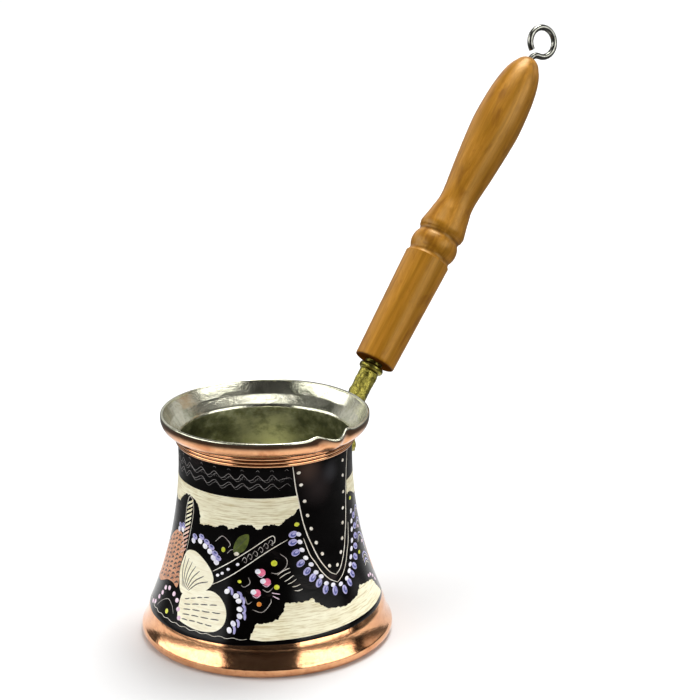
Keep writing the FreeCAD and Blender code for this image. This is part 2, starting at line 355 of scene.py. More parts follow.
class Nodes:
    """Tools that fill a node tree.  Textures read millimetres, and colours are display values
    between 0 and 255."""

    def __init__(self, tree):
        self.tree = tree

    def add(self, kind, inputs=(), **settings):
        node = self.tree.nodes.new(kind)
        for key, value in settings.items():
            setattr(node, key, value)
        self.feed(node, inputs)
        return node

    def feed(self, node, inputs):
        for key, value in dict(inputs).items():
            if isinstance(value, bpy.types.NodeSocket):
                self.tree.links.new(value, node.inputs[key])
            elif isinstance(value, tuple) and node.inputs[key].type == "RGBA":
                node.inputs[key].default_value = tone(*value)
            else:
                node.inputs[key].default_value = value

    def place(self, scale=(1, 1, 1), frame_rows=None, origin=(0, 0, 0)):
        """Object coordinates in mm, optionally in a turned frame."""
        rows = Matrix(frame_rows) if frame_rows is not None else Matrix.Identity(3)
        shift = -(rows @ Vector(origin))
        turned = self.add("ShaderNodeMapping", {
            "Vector": self.add("ShaderNodeTexCoord").outputs["Object"],
            "Scale": (PER_METRE,) * 3, "Rotation": rows.to_euler(), "Location": shift})
        return self.scaled(turned.outputs[0], scale)

    def rings(self, along, around):
        """Coordinates that change with radius and height, and only slowly round the axis."""
        split = self.add("ShaderNodeSeparateXYZ", {"Vector": self.place()})
        x, y, z = (split.outputs[axis] for axis in "XYZ")
        flat = self.add("ShaderNodeCombineXYZ", {"X": x, "Y": y}).outputs[0]
        radius = self.add("ShaderNodeVectorMath", {0: flat}, operation="LENGTH").outputs["Value"]
        return self.add("ShaderNodeCombineXYZ", {
            "X": self.math("MULTIPLY_ADD", radius, along, self.math("MULTIPLY", x, around)),
            "Y": self.math("MULTIPLY", y, around),
            "Z": self.math("MULTIPLY", z, along)}).outputs[0]

    def height(self, vector=None):
        """Height above the floor, or the Z of other coordinates."""
        if vector is None:
            vector = self.place()
        return self.add("ShaderNodeSeparateXYZ", {"Vector": vector}).outputs["Z"]

    def scaled(self, vector, scale, location=(0, 0, 0)):
        return self.add("ShaderNodeMapping", {
            "Vector": vector, "Scale": scale, "Location": location}).outputs[0]

    def round_spot(self, centre, reach, stops):
        """A ramp over the distance from a point, as a share of the reach."""
        away = self.add(
            "ShaderNodeVectorMath", {0: self.place(), 1: Vector(centre)}, operation="DISTANCE")
        return self.ramp(self.math("DIVIDE", away.outputs["Value"], reach), stops, "EASE")

    def noise(self, vector, scale, detail=3.0, roughness=0.5, distortion=0.0):
        return self.add("ShaderNodeTexNoise", {
            "Vector": vector, "Scale": scale, "Detail": detail, "Roughness": roughness,
            "Distortion": distortion}).outputs["Fac"]

    def ramp(self, value, stops, interpolation="LINEAR"):
        node = self.add("ShaderNodeValToRGB", {"Fac": value})
        elements = node.color_ramp.elements
        node.color_ramp.interpolation = interpolation
        for _ in range(len(stops) - 2):
            elements.new(0.5)
        for element, (place, colour) in zip(elements, stops):
            element.position = place
            element.color = tone(*colour) if isinstance(colour, tuple) else (colour,) * 3 + (1.0,)
        return node.outputs["Color"]

    def mix(self, share, first, second, blend="MIX"):
        node = self.add("ShaderNodeMix", {0: share, 6: first, 7: second}, data_type="RGBA")
        node.blend_type = blend
        return node.outputs[2]

    def tint(self, base, value, low, high, share, colour):
        """Lays a colour over the base, from none of it at the low value to a share at the high one."""
        return self.mix(self.ramp(value, [(low, 0.0), (high, share)]), base, colour)

    def math(self, operation, first, second=0.0, third=0.0):
        return self.add(
            "ShaderNodeMath", {0: first, 1: second, 2: third}, operation=operation).outputs[0]

    def bump(self, height, depth, strength=1.0, normal=None):
        """A bump whose full height is depth, in mm."""
        inputs = {"Height": height, "Distance": depth * MM, "Strength": strength}
        if normal is not None:
            inputs["Normal"] = normal
        return self.add("ShaderNodeBump", inputs).outputs["Normal"]


class Shader(Nodes):
    """A node material under construction."""

    def __init__(self, name):
        self.material = bpy.data.materials.new(name)
        self.material.use_nodes = True
        super().__init__(self.material.node_tree)
        self.surface = self.tree.nodes["Principled BSDF"]

    def finish(self, **inputs):
        """Feeds the surface, by its inputs' names in lower case, and hands the material over."""
        names = {
            key.replace("_", " ").title().replace("Ior", "IOR"): value
            for key, value in inputs.items()
        }
        self.feed(self.surface, names)
        return self.material


def copper_material():
    s = Shader("polished_copper")
    marks = s.noise(s.rings(3.2, 0.05), 1.0, 4.0, 0.6)
    fine = s.noise(s.rings(11.0, 0.25), 1.0, 2.0, 0.6)
    cloud = s.noise(s.place((0.06, 0.06, 0.12)), 1.0, 4.0, 0.6, 0.6)
    spots = s.noise(s.place(), 0.55, 5.0, 0.7)
    base = s.ramp(cloud, [
        (0.3, (208, 148, 104)), (0.52, (228, 172, 126)), (0.75, (184, 118, 74))])
    base = s.tint(base, spots, 0.5, 0.72, 0.55, (176, 108, 74))
    base = s.mix(s.math("MULTIPLY", fine, 0.16), base, (168, 104, 72))
    # Painted shade darkens the grooves between the beads.
    height = s.height()
    half_beads = bead_count * bead_pitch / 2
    step = s.math("PINGPONG", s.math("SUBTRACT", height, neck_bottom), bead_pitch / 2)
    at_beads = s.math("COMPARE", height, neck_bottom + half_beads, half_beads + 0.2)
    groove = s.math("MULTIPLY", s.ramp(step, [(0.06, 1.0), (0.26, 0.0)]), at_beads)
    base = s.mix(s.math("MULTIPLY", groove, 0.9), base, (70, 30, 12))
    height_share = s.math("DIVIDE", height, pot_height)
    base = s.tint(base, height_share, 0.962, 0.985, 0.75, (112, 92, 76))
    rough = s.math("MULTIPLY_ADD", marks, 0.08, 0.05)
    rough = s.math("MULTIPLY_ADD", spots, 0.06, rough)
    normal = s.bump(fine, 0.006, 0.6, s.bump(marks, 0.015, 0.6, s.bump(cloud, 0.5, 0.3)))
    return s.finish(base_color=base, metallic=1.0, roughness=rough, normal=normal)


# The tin is stained below the ledge. Painted light makes it paler lower down, and in a patch on the
# wall that faces the spectator.
STAIN_TOP = throat_height + 0.4
LIT_PATCH_HEIGHT = 68.5
LIT_PATCH_REACH = 17.0


def tin_material():
    s = Shader("wiped_tin")
    wipes = s.noise(s.rings(1.6, 0.12), 1.0, 4.0, 0.65)
    cloud = s.noise(s.place((0.09, 0.09, 0.12)), 1.0, 4.0, 0.6, 0.8)
    specks = s.noise(s.place(), 0.9, 5.0, 0.7)
    base = s.ramp(cloud, [
        (0.3, (158, 160, 136)), (0.55, (204, 202, 184)), (0.8, (176, 176, 148))])
    base = s.tint(base, specks, 0.56, 0.68, 0.6, (120, 118, 92))
    base = s.mix(s.math("MULTIPLY", wipes, 0.35), base, (134, 134, 112))
    height = s.height()
    deep = s.math("LESS_THAN", height, STAIN_TOP)
    patches = s.noise(s.place((0.11, 0.11, 0.16)), 1.0, 6.0, 0.7)
    stains = s.ramp(patches, [
        (0.38, (100, 102, 72)), (0.52, (140, 142, 108)), (0.66, (196, 196, 162))])
    # Painted light: the tin gets paler towards the bottom of the pot.
    painted_light_low_down = s.ramp(s.math("DIVIDE", height, pot_height), [(0.5, 1.0), (0.86, 0.0)], "EASE")
    stains = s.mix(s.math("MULTIPLY", painted_light_low_down, 0.75), stains, (224, 224, 192))
    # Painted light: a pale patch on the inside of the wall that faces the spectator.
    painted_light_patch = s.round_spot(
        on_wall(HALF_TURN, LIT_PATCH_HEIGHT), LIT_PATCH_REACH, [(0.2, 0.8), (1.0, 0.0)])
    painted_light_patch = s.math("MULTIPLY", painted_light_patch, s.ramp(patches, [(0.34, 0.35), (0.5, 1.0)]))
    stains = s.mix(painted_light_patch, stains, (246, 244, 216))
    base = s.mix(deep, base, stains)
    rough = s.math("MULTIPLY_ADD", deep, 0.2, s.math("MULTIPLY_ADD", cloud, 0.16, 0.12))
    normal = s.bump(wipes, 0.05, 0.6, s.bump(specks, 0.12, 0.35, s.bump(cloud, 0.8, 0.3)))
    return s.finish(base_color=base, metallic=1.0, roughness=rough, normal=normal)


# Where painted sheen lightens the lacquer: turn, height, reach, share, colour.
PAINTED_SHEEN_PLACES = [
    (31, 76, 8.0, 0.6, (82, 64, 56)),
    (38, 69, 10.0, 0.5, (56, 48, 48)),
    (49, 73, 6.0, 0.45, (66, 66, 70)),
    (60, 26, 7.0, 0.4, (60, 58, 58)),
]


def lacquer_material():
    s = Shader("black_lacquer")
    cloud = s.noise(s.place((0.07, 0.07, 0.12)), 1.0, 4.0, 0.6, 0.5)
    brush = s.noise(s.rings(2.4, 0.06), 1.0, 3.0, 0.6)
    dust = s.noise(s.place(), 2.2, 4.0, 0.7)
    base = s.ramp(cloud, [(0.3, (2, 1, 1)), (0.6, (6, 5, 5)), (0.78, (40, 32, 32))])
    base = s.tint(base, dust, 0.62, 0.75, 0.3, (38, 30, 28))
    # Painted sheen: soft lighter spots on the lacquer, repeated on both halves of the pot.
    for half_turn in (0.0, HALF_TURN):
        for turn, height, reach, share, colour in PAINTED_SHEEN_PLACES:
            spot = on_wall(turn + half_turn, height)
            base = s.mix(s.round_spot(spot, reach, [(0.0, share), (1.0, 0.0)]), base, colour)
    rough = s.math("MULTIPLY_ADD", cloud, 0.16, 0.1)
    normal = s.bump(dust, 0.012, 0.5, s.bump(brush, 0.02, 0.6, s.bump(cloud, 0.4, 0.2)))
    return s.finish(base_color=base, roughness=rough, normal=normal, specular_ior_level=0.12)


def hatched_paint(name, light, dark, lines):
    """Thin paint, laid on with fine strokes that run round the pot."""
    s = Shader(name)
    long_strokes = s.noise(s.place((0.09, 0.09, 1.5)), 1.0, 2.0, 0.5)
    short_strokes = s.noise(s.place((0.24, 0.24, 2.6)), 1.0, 3.0, 0.6)
    patches = s.noise(s.place((0.10, 0.10, 0.2)), 1.0, 3.0, 0.6)
    drawn = s.math("MULTIPLY", s.ramp(long_strokes, [(0.5, 0.0), (0.58, 1.0)]), lines)
    base = s.mix(s.ramp(patches, [(0.35, 0.0), (0.7, 0.35)]), light, dark)
    dashes = s.math("MULTIPLY", s.ramp(short_strokes, [(0.52, 0.0), (0.66, 0.6)]), lines)
    base = s.mix(dashes, base, dark)
    broken = s.math("MULTIPLY", drawn, s.ramp(short_strokes, [(0.35, 0.2), (0.6, 0.9)]))
    base = s.mix(broken, base, dark)
    normal = s.bump(short_strokes, 0.02, 0.5, s.bump(long_strokes, 0.03, 0.5))
    rough = s.math("MULTIPLY_ADD", short_strokes, 0.3, 0.25)
    return s.finish(base_color=base, roughness=rough, normal=normal, specular_ior_level=0.35)


def dab_paint(name, light, dark):
    """Glossy enamel dabs whose colour varies a little from place to place."""
    s = Shader(name)
    patches = s.noise(s.place(), 0.45, 3.0, 0.6)
    grains = s.noise(s.place(), 3.0, 3.0, 0.6)
    base = s.ramp(patches, [(0.35, dark), (0.62, light)])
    base = s.tint(base, grains, 0.55, 0.8, 0.35, dark)
    normal = s.bump(grains, 0.02, 0.5)
    rough = s.math("MULTIPLY_ADD", patches, 0.2, 0.3)
    return s.finish(
        base_color=base, roughness=rough, normal=normal, coat_weight=0.3, coat_roughness=0.15)


def wood_material():
    s = Shader("varnished_wood")
    grain = s.place((1, 1, 1), HANDLE_FRAME, handle_foot)
    bands = s.noise(s.scaled(grain, (0.30, 0.30, 0.016)), 1.0, 3.0, 0.55, 1.4)
    fibres = s.noise(s.scaled(grain, (2.6, 2.6, 0.09)), 1.0, 4.0, 0.65)
    pores = s.noise(s.scaled(grain, (3.4, 3.4, 0.35)), 1.0, 2.0, 0.5)
    knots = s.noise(s.scaled(grain, (0.16, 0.16, 0.05)), 1.0, 3.0, 0.6, 1.0)
    growth = s.add("ShaderNodeTexWave", {
        "Vector": s.scaled(grain, (0.10, 0.10, 0.006), (0.8, 0.3, 0.0)), "Scale": 1.6,
        "Distortion": 6.0, "Detail": 2.0, "Detail Scale": 0.7}, bands_direction="X").outputs["Fac"]
    base = s.ramp(bands, [
        (0.3, (138, 92, 8)), (0.48, (160, 108, 24)), (0.72, (180, 124, 42))])
    base = s.mix(s.ramp(growth, [(0.1, 0.22), (0.5, 0.0)]), base, (124, 80, 4))
    base = s.mix(s.ramp(fibres, [(0.4, 0.3), (0.6, 0.0)]), base, (132, 82, 14))
    base = s.tint(base, pores, 0.66, 0.76, 0.55, (96, 54, 10))
    base = s.tint(base, knots, 0.54, 0.68, 0.7, (112, 64, 4))
    # The sawn end and the two grooves are darkened with painted shade.
    share = s.math("DIVIDE", s.height(grain), wood_length)
    painted_end_groove_shade = [(0.0, 0.9), (0.5 / wood_length, 0.0)]
    for place, reach, depth in ((lower_groove[0], 1.0, 0.55), (upper_groove[0], 0.9, 0.75)):
        painted_end_groove_shade += [
            ((place - reach) / wood_length, 0.0), (place / wood_length, depth),
            ((place + reach) / wood_length, 0.0)]
    base = s.mix(s.ramp(share, painted_end_groove_shade), base, (60, 26, 4))
    rough = s.math("MULTIPLY_ADD", fibres, 0.22, 0.28)
    normal = s.bump(fibres, 0.04, 0.4, s.bump(pores, 0.04, 0.4))
    polished = s.ramp(share, [(0.3 / wood_length, 0.0), (0.9 / wood_length, 1.0)])
    return s.finish(
        base_color=base, roughness=rough, normal=normal,
        coat_weight=s.math("MULTIPLY", polished, 0.1), coat_roughness=0.3,
        specular_ior_level=s.math("MULTIPLY", polished, 0.75), specular_tint=(255, 208, 120))


def brass_material(name, light, dark, cast_depth, shine):
    """Brass, rough as cast or turned smooth."""
    s = Shader(name)
    lumps = s.noise(s.place(), 0.42, 4.0, 0.6, 0.7)
    grit = s.noise(s.place(), 1.6, 5.0, 0.7)
    base = s.ramp(lumps, [(0.32, dark), (0.55, light), (0.78, light)])
    base = s.tint(base, grit, 0.5, 0.72, 0.7, dark)
    rough = s.math("MULTIPLY_ADD", grit, 0.3, shine)
    normal = s.bump(grit, cast_depth * 0.5, 0.8, s.bump(lumps, cast_depth, 1.0))
    return s.finish(base_color=base, metallic=1.0, roughness=rough, normal=normal)


def plain_metal(name, light, dark, shine):
    """A drawn or turned metal part with fine scratches and a little tarnish."""
    s = Shader(name)
    cloud = s.noise(s.place(), 0.5, 4.0, 0.6)
    scratches = s.noise(s.place((6.0, 1.4, 3.0)), 1.0, 4.0, 0.7)
    base = s.ramp(cloud, [(0.3, dark), (0.6, light)])
    rough = s.math("MULTIPLY_ADD", scratches, 0.2, shine)
    normal = s.bump(scratches, 0.02, 0.5)
    return s.finish(base_color=base, metallic=1.0, roughness=rough, normal=normal)


# ---- the pot: copper sheet, tin lining and lacquer ----

spout_start = 79.4
spout_width_low = 2.6
spout_width_high = 6.9
spout_push = 2.5
spout_raise = 0.95
spout_sink = 0.9
spout_crease = 0.55
spout_fine_reach = 20.0
fine_turn = 0.5
coarse_turn = 1.5


def spout_turns():
    """Azimuths for the pot's rings, close together round the pouring lip."""
    turns = []
    angle = 0.0
    while angle < 360.0 - TINY:
        off = abs((angle - spout_azimuth + 180.0) % 360.0 - 180.0)
        turns.append(angle)
        angle += fine_turn if off < spout_fine_reach else coarse_turn
    return turns


def smoothstep(value):
    return value * value * (3 - 2 * value)


# The shapes of the lip across its width, as shares of the width: middle and reach.
spout_shoulder = (1.12, 0.42)
spout_crease_shape = (1.2, 0.3)
rim_wander = 0.12
rim_ripple = 0.05


def spout_share(z):
    return min(1.0, max(0.0, (z - spout_start) / (pot_height - spout_start)))


def swelling(value, middle, reach):
    return math.exp(-((value - middle) / reach) ** 2)


def press_spout(x, y, z):
    """Pushes the rim out into a pouring lip and lets it wander a little, as hand work does."""
    turn = math.atan2(y, x)
    rise = smoothstep(spout_share(z))
    if rise <= 0.0:
        return (x, y, z)
    azimuth = math.radians(spout_azimuth)
    out = (math.cos(azimuth), math.sin(azimuth))
    forward = x * out[0] + y * out[1]
    sideways = -x * out[1] + y * out[0]
    z += rise * rim_wander * math.sin(2 * turn + 0.6) + rise * rim_ripple * math.sin(7 * turn)
    if forward < 0:
        return (x, y, z)
    height_share = spout_share(z)
    width = spout_width_low + (spout_width_high - spout_width_low) * height_share
    t = abs(sideways) / width
    channel = (1 - t * t) ** 2 if t < 1 else 0.0
    shoulder = swelling(t, *spout_shoulder)
    crease = swelling(t, *spout_crease_shape)
    push = rise * spout_push * channel - rise * (1 - 0.5 * height_share) * spout_crease * crease
    lift = rise * height_share * (spout_raise * shoulder - spout_sink * channel)
    return (x + push * out[0], y + push * out[1], z + lift)


def bead_lines():
    """The neck's beads, from the end of the wall up to the foot of the rim bowl."""
    points = [(wall_radius(neck_bottom), neck_bottom), (bead_root_radius, neck_bottom)]
    for bead in range(bead_count):
        low = neck_bottom + bead * bead_pitch
        points = joined(points, arc_through(
            (bead_root_radius, low), (bead_root_radius + bead_height, low + bead_pitch / 2),
            (bead_root_radius, low + bead_pitch), 10))
    return points


copper_lip = pot_height - 0.55
tin_lip = pot_height - 0.65
tin_outside = 0.04
tin_depth = 0.93
tin_edge_rise = 0.72


def copper_outline():
    outside = joined(
        foot_line(0.0, wall_bottom),
        wall_line(wall_bottom, neck_bottom, 0.0, 60),
        bead_lines(),
        bowl_line(-90.0, 0.0, copper_lip, 24),
    )
    inside = inner_line(copper_thickness, copper_lip)
    return outside + inside[::-1]


def tin_outline():
    """The lining, turned over the lip so that its edge shows as a bright line."""
    outer = inner_line(tin_depth, tin_lip)
    inner = inner_line(sheet_thickness, tin_lip)
    outside = bowl_line(0.0, tin_outside, tin_lip, 1)[-1]
    across = (inner[-1][0] - outside[0]) / 2
    edge = arc_through(outside, (outside[0] + across, tin_lip + tin_edge_rise), inner[-1], 10)
    return outer + edge + inner[:-1][::-1]


def lacquer_low(azimuth):
    """The hand-painted lower edge of the lacquer."""
    turn = math.radians(azimuth - lacquer_tilt_direction)
    tilt = math.tan(math.radians(lacquer_tilt))
    slope = tilt * wall_radius(lacquer_bottom) * math.cos(turn)
    slow = 0.12 * math.sin(math.radians(azimuth * 5))
    quick = 0.08 * math.sin(math.radians(azimuth * 13 + 40))
    return lacquer_bottom + slope + (slow + quick)


lacquer_rows = 44
lacquer_sunk = -0.3
lacquer_edge = 0.25
lacquer_edge_lift = 0.05
lacquer_overlap = 0.06


def lacquer_shell():
    """The lacquer's face with thin edges, and a coarser back that lies inside the copper."""
    points = []
    turns = even_turns(360)
    high = lacquer_top + lacquer_overlap
    for azimuth in turns:
        low = lacquer_low(azimuth)
        heights = [low + (high - low) * i / lacquer_rows for i in range(1, lacquer_rows)]
        face = [low + lacquer_edge] + heights + [high - lacquer_edge]
        line = [(wall_radius(low, lacquer_sunk), low), (wall_radius(low, lacquer_edge_lift), low)]
        line += [(wall_radius(z, lacquer_thickness), z) for z in face]
        line += [(wall_radius(high, lacquer_edge_lift), high), (wall_radius(high, lacquer_sunk), high)]
        line += [(wall_radius(z, lacquer_sunk), z) for z in heights[::4][::-1]]
        points += [ring_point(r, azimuth, z) for r, z in line]
    return Shells(points, grid_faces(len(turns), len(line), True, turned_over=True))


pot_turns = spout_turns()
make_piece(
    "pot_shell", spun(copper_outline(), pot_turns, press_spout), copper_material(),
    "pot", "pot_body")
make_piece(
    "tin_inside", spun(tin_outline(), pot_turns, press_spout), tin_material(),
    "pot", "tin_lining")
make_piece("lacquer_band", lacquer_shell(), lacquer_material(), "pot", "lacquer_coat")


# ---- painted decoration ----

PAINT_SINK = 0.05
MEAN_MM_PER_DEGREE = 0.65
STROKE_STEP = 0.45
EDGE_STEP_ROUND = 0.8
EDGE_STEP_RAGGED = 0.5
RAGGED_DEPTH = 0.6
FILL_STEP = 1.4
DOT_SIDES = 18
paints = {}


def mm_per_degree(height):
    return math.radians(wall_radius(height, lacquer_thickness))


def is_inside(edge, s, z):
    """Whether a point lies inside a closed edge, and not too near to it."""
    ahead = np.roll(edge, -1, 0)
    crossing = (edge[:, 1] > z) != (ahead[:, 1] > z)
    with np.errstate(divide="ignore", invalid="ignore"):
        slant = (ahead[:, 0] - edge[:, 0]) * (z - edge[:, 1]) / (ahead[:, 1] - edge[:, 1])
    near = np.min(np.hypot(edge[:, 0] - s, edge[:, 1] - z))
    return np.sum(crossing & (s < slant + edge[:, 0])) % 2 and near > FILL_STEP * 0.45


class Brush:
    """Paints on one half of the lacquer.  Places are turns, in degrees from the half's own front,
    and heights in mm; widths are in mm."""

    def __init__(self, half_turn):
        self.half_turn = half_turn

    def flat(self, points):
        return [((turn + self.half_turn) * MEAN_MM_PER_DEGREE, z) for turn, z in points]

    def stroke(self, colour, points, width, lift=0.05, ends=0.35):
        """A brush line through a few points, thick in the middle and thin at its edges."""
        curve = smooth_curve(self.flat(points), STROKE_STEP)
        count = len(curve)
        shares = (-1.0, -0.6, 0.0, 0.6, 1.0)
        lifts = (-PAINT_SINK, lift * 0.8, lift, lift * 0.8, -PAINT_SINK)
        made = []
        for i, (s, z) in enumerate(curve):
            before = curve[max(i - 1, 0)]
            after = curve[min(i + 1, count - 1)]
            stretch = mm_per_degree(z) / MEAN_MM_PER_DEGREE
            along = np.array([(after[0] - before[0]) * stretch, after[1] - before[1]])
            along /= np.linalg.norm(along) + 1e-9
            from_end = min(i, count - 1 - i) / max(1.0, (count - 1) * 0.5)
            swell = ends + (1 - ends) * math.sqrt(min(1.0, from_end * 2.5))
            for share, up in zip(shares, lifts):
                reach = share * width * swell / 2
                turn = (s / MEAN_MM_PER_DEGREE) - along[1] * reach / mm_per_degree(z)
                made.append(on_wall(turn, z + along[0] * reach, up))
        paints.setdefault(colour, Shells()).add(made, tube_faces(count, len(shares)))

    def dot(self, colour, turn, height, half_width, half_height, lean=0.0, lift=0.09):
        """An oval dab that leans by an angle."""
        turn = turn + self.half_turn
        rings = ((0.45, lift), (0.8, lift * 0.75), (1.0, -PAINT_SINK))
        points = [on_wall(turn, height, lift)]
        cl, sl = math.cos(math.radians(lean)), math.sin(math.radians(lean))
        scale = mm_per_degree(height)
        for share, up in rings:
            for k in range(DOT_SIDES):
                a = math.tau * k / DOT_SIDES
                u, v = share * half_width * math.cos(a), share * half_height * math.sin(a)
                points.append(on_wall(turn + (u * cl - v * sl) / scale, height + u * sl + v * cl, up))
        points.append(on_wall(turn, height, -PAINT_SINK))
        last = len(points) - 1
        outer = 1 + 2 * DOT_SIDES
        faces = []
        for k in range(DOT_SIDES):
            m = (k + 1) % DOT_SIDES
            faces.append((0, 1 + k, 1 + m))
            for a in (1, 1 + DOT_SIDES):
                b = a + DOT_SIDES
                faces.append((a + k, b + k, b + m, a + m))
            faces.append((last, outer + m, outer + k))
        paints.setdefault(colour, Shells()).add(points, faces)

    def dots(self, colour, places, *shape):
        for turn, height in places:
            self.dot(colour, turn, height, *shape)

    def fill(self, colour, outline, lift=0.03, ragged=None):
        """A painted patch in a closed outline: rounded, or ragged between two heights."""
        flat = self.flat(outline)
        if ragged:
            edge = []
            for a, b in zip(flat, flat[1:] + flat[:1]):
                parts = max(1, int(math.dist(a, b) / EDGE_STEP_RAGGED))
                edge += [np.array(p) for p in straight(a, b, parts)[:-1]]
            edge = np.array(edge) + RAGGED_DEPTH * np.array([
                (noise.noise((s * 1.1, z * 1.1, 4.0)), noise.noise((s * 1.3, z * 1.3, 9.0)))
                if ragged[0] < z < ragged[1] else (0.0, 0.0)
                for s, z in edge])
        else:
            edge = np.array(smooth_curve(flat, EDGE_STEP_ROUND, True))
        count = len(edge)
        low, high = edge.min(0) + FILL_STEP / 2, edge.max(0)
        inner = [
            (s, z) for s in np.arange(low[0], high[0], FILL_STEP)
            for z in np.arange(low[1], high[1], FILL_STEP) if is_inside(edge, s, z)]
        flat_points = [Vector(p) for p in edge] + [Vector(p) for p in inner]
        loop = [(i, (i + 1) % count) for i in range(count)]
        points, _, triangles, *_ = geometry.delaunay_2d_cdt(flat_points, loop, [], 1, 1e-5)
        base = len(points)
        faces = []
        sides = []
        for triangle in triangles:
            a, b, c = (points[i] for i in triangle[:3])
            face = tuple(triangle) if (b - a).cross(c - a) >= 0 else tuple(reversed(triangle))
            faces += [face, tuple(base + i for i in reversed(face))]
            sides += zip(face, face[1:] + face[:1])
        known = set(sides)
        faces += [(j, i, base + i, base + j) for i, j in sides if (j, i) not in known]
        shell = [
            on_wall(p.x / MEAN_MM_PER_DEGREE, p.y, up) for up in (lift, -PAINT_SINK) for p in points]
        paints.setdefault(colour, Shells()).add(shell, faces)


# The turn of the shield's middle line.
MEDALLION = 45.0


def medallion(brush):
    """The pointed shield under the pouring lip, with a dotted inside and a garland round it."""
    half = [
        (25, 78.3), (24.3, 75), (23, 69), (21.5, 64.5), (19.5, 57.5), (17, 51.5), (14, 46.5),
        (10.7, 41.5), (7.2, 37.8), (3.8, 35), (0, 33.5)]
    outer = [(19.5, 50), (16.2, 43.5), (13, 40), (9.5, 36), (5, 32.6), (0, 30.6)]
    for side in (-1, 1):
        brush.stroke("ivory", [(MEDALLION + side * a, z) for a, z in half], 0.55)
        brush.stroke("ivory", [(MEDALLION + side * a, z) for a, z in outer], 0.45)
    left = [
        (24, 75.5), (25.5, 70.6), (27.7, 64), (29.3, 58.3), (31.3, 53), (34, 47.3), (37.3, 42.6),
        (41.3, 37.4)]
    right = [
        (47.3, 36.7), (52, 40.7), (55.3, 45.4), (58, 51), (60.2, 56.4), (62.4, 62.5), (62.9, 69),
        (63, 75)]
    for i, (a, z) in enumerate(left + right):
        lean = -35 if 2 < i < 8 else (25 if 8 <= i < 12 else 0)
        brush.dot("ivory", a, z, 0.86, 0.68, lean)
    petals = [
        (19, 52), (18.5, 49), (20, 45), (22.5, 40.8), (26, 37.5), (29, 34.8), (32.5, 32.4),
        (36, 29.5), (42, 28), (49, 27), (54, 28.7), (58, 31), (62, 33.2), (65.5, 36), (68.5, 39.5),
        (71.5, 43), (73.5, 46.5), (74.5, 50.5)]
    for a, z in petals:
        lean = 90 + (a - MEDALLION) * 2.9
        brush.dot("lavender", a, z, 2.0, 1.4, lean, 0.05)
        brush.dot("blue", a + 0.3, z - 0.1, 1.5, 0.95, lean, 0.07)
        brush.dot("lavender", a + 0.6, z + 0.2, 1.0, 0.5, lean, 0.085)
    inner_dots = [
        (22.5, 51.8), (23, 48.8), (24, 45.7), (26, 42.5), (29, 39.7), (31.5, 36.4), (34.5, 34.5),
        (37.2, 31.5), (41.5, 30.2), (47, 29.5), (52.5, 30.5), (56, 32.6), (58.3, 34.6), (60.5, 37),
        (63, 39.7), (65.5, 42.4), (68, 46.3), (69.5, 49.3), (71, 53)]
    for a, z in inner_dots:
        brush.dot("white", a, z, 1.2, 0.85, -30 + (a - 22) * 1.4, 0.11)
    brush.dot("yellow", 21.7, 55.6, 1.1, 0.85)
    brush.dots("yellow", [(72, 58), (72, 36.2)], 1.1, 0.8)


def cream_bands(brush):
    upper = [
        (-90, 66.1), (-60, 66.2), (-30, 66.2), (0, 66.4), (22.9, 66.7), (24.2, 61.6), (22, 61.2),
        (21, 59.8), (17, 58.8), (14, 57.5), (11, 55.8), (6, 56.4), (1, 56), (-1, 54.6),
        (-3.5, 54.8), (-6, 56), (-10, 56.3), (-14, 56), (-18, 54.3), (-21.5, 53.8), (-23, 55),
        (-27, 54.8), (-30, 53.7), (-36, 53.9), (-40, 53.5), (-43, 53.3), (-44, 57.5), (-46, 60),
        (-50, 62), (-55, 62.6), (-60, 62.3), (-66, 60), (-70, 57.5), (-75, 57.1), (-82, 57.9),
        (-90, 57.5)]
    brush.fill("cream", upper, ragged=(0.0, 64.5))
    beside = [
        (66.6, 60.6), (67.2, 63), (68, 66), (80, 66.2), (90, 66.1), (90, 57.5), (85, 57.4),
        (80, 58.6), (75, 60.1), (70, 60.9)]
    brush.fill("cream", beside, ragged=(0.0, 64.5))
    lower = [
        (-6, 14.6), (-5.5, 16.5), (-4.5, 18), (-3.5, 19.7), (-2.5, 20.3), (0, 20), (4, 20.5),
        (6, 21), (9, 22.5), (11, 24.5), (12.3, 27.2), (21, 26.6), (27, 27.3), (30, 25.5),
        (35, 22.5), (40, 22), (47, 21.3), (53, 22), (57, 22.8), (60, 24.2), (62, 25.7), (66, 25),
        (70, 24.4), (76, 24), (80, 22.6), (84, 19.5), (87, 17), (88.5, 15.4), (80, 15.7),
        (70, 15.6), (55, 15.4), (40, 15), (25, 14.6), (10, 14.3), (0, 14.1)]
    brush.fill("cream", lower, ragged=(16.2, 90.0))


def neck_squiggles(brush):
    """Two faint rows of waves under the beads."""
    peaks = [-85, -75, -65, -56, -43, -32, -21.5, -12.5, -2.5, 6.5, 16]
    arches = []
    for a, b in zip(peaks, peaks[1:]):
        middle = (a + b) / 2
        arches += [(a, 75.6 + random.uniform(-0.3, 0.3)), (middle - 1, 73.5), (middle + 1.6, 73.8)]
    brush.stroke("smoke", arches + [(18.5, 74.2)], 0.3, 0.025)
    brush.stroke("smoke", [(a + 1.3, z - 0.75) for a, z in arches], 0.2, 0.025)
    lower = []
    for a, b in zip(peaks, peaks[1:]):
        lower += [(a, 72.1), (a + (b - a) * 0.45, 70.2 + random.uniform(-0.2, 0.2))]
    brush.stroke("smoke", lower + [(16, 71.8), (18.5, 70.6)], 0.26, 0.025)
    brush.stroke("smoke", [(a + 0.8, z - 0.8) for a, z in lower], 0.18, 0.025)
    for a in peaks:
        brush.stroke("smoke", [(a - 1.2, 76.9), (a, 77.4), (a + 1.2, 76.8)], 0.2, 0.02)
        for step in (-2.2, -1.1, 0.0, 1.1, 2.2):
            ray = [(a + step, 74.6 - abs(step) * 0.35), (a + step * 1.5, 73.4)]
            brush.stroke("smoke", ray, 0.16, 0.02)


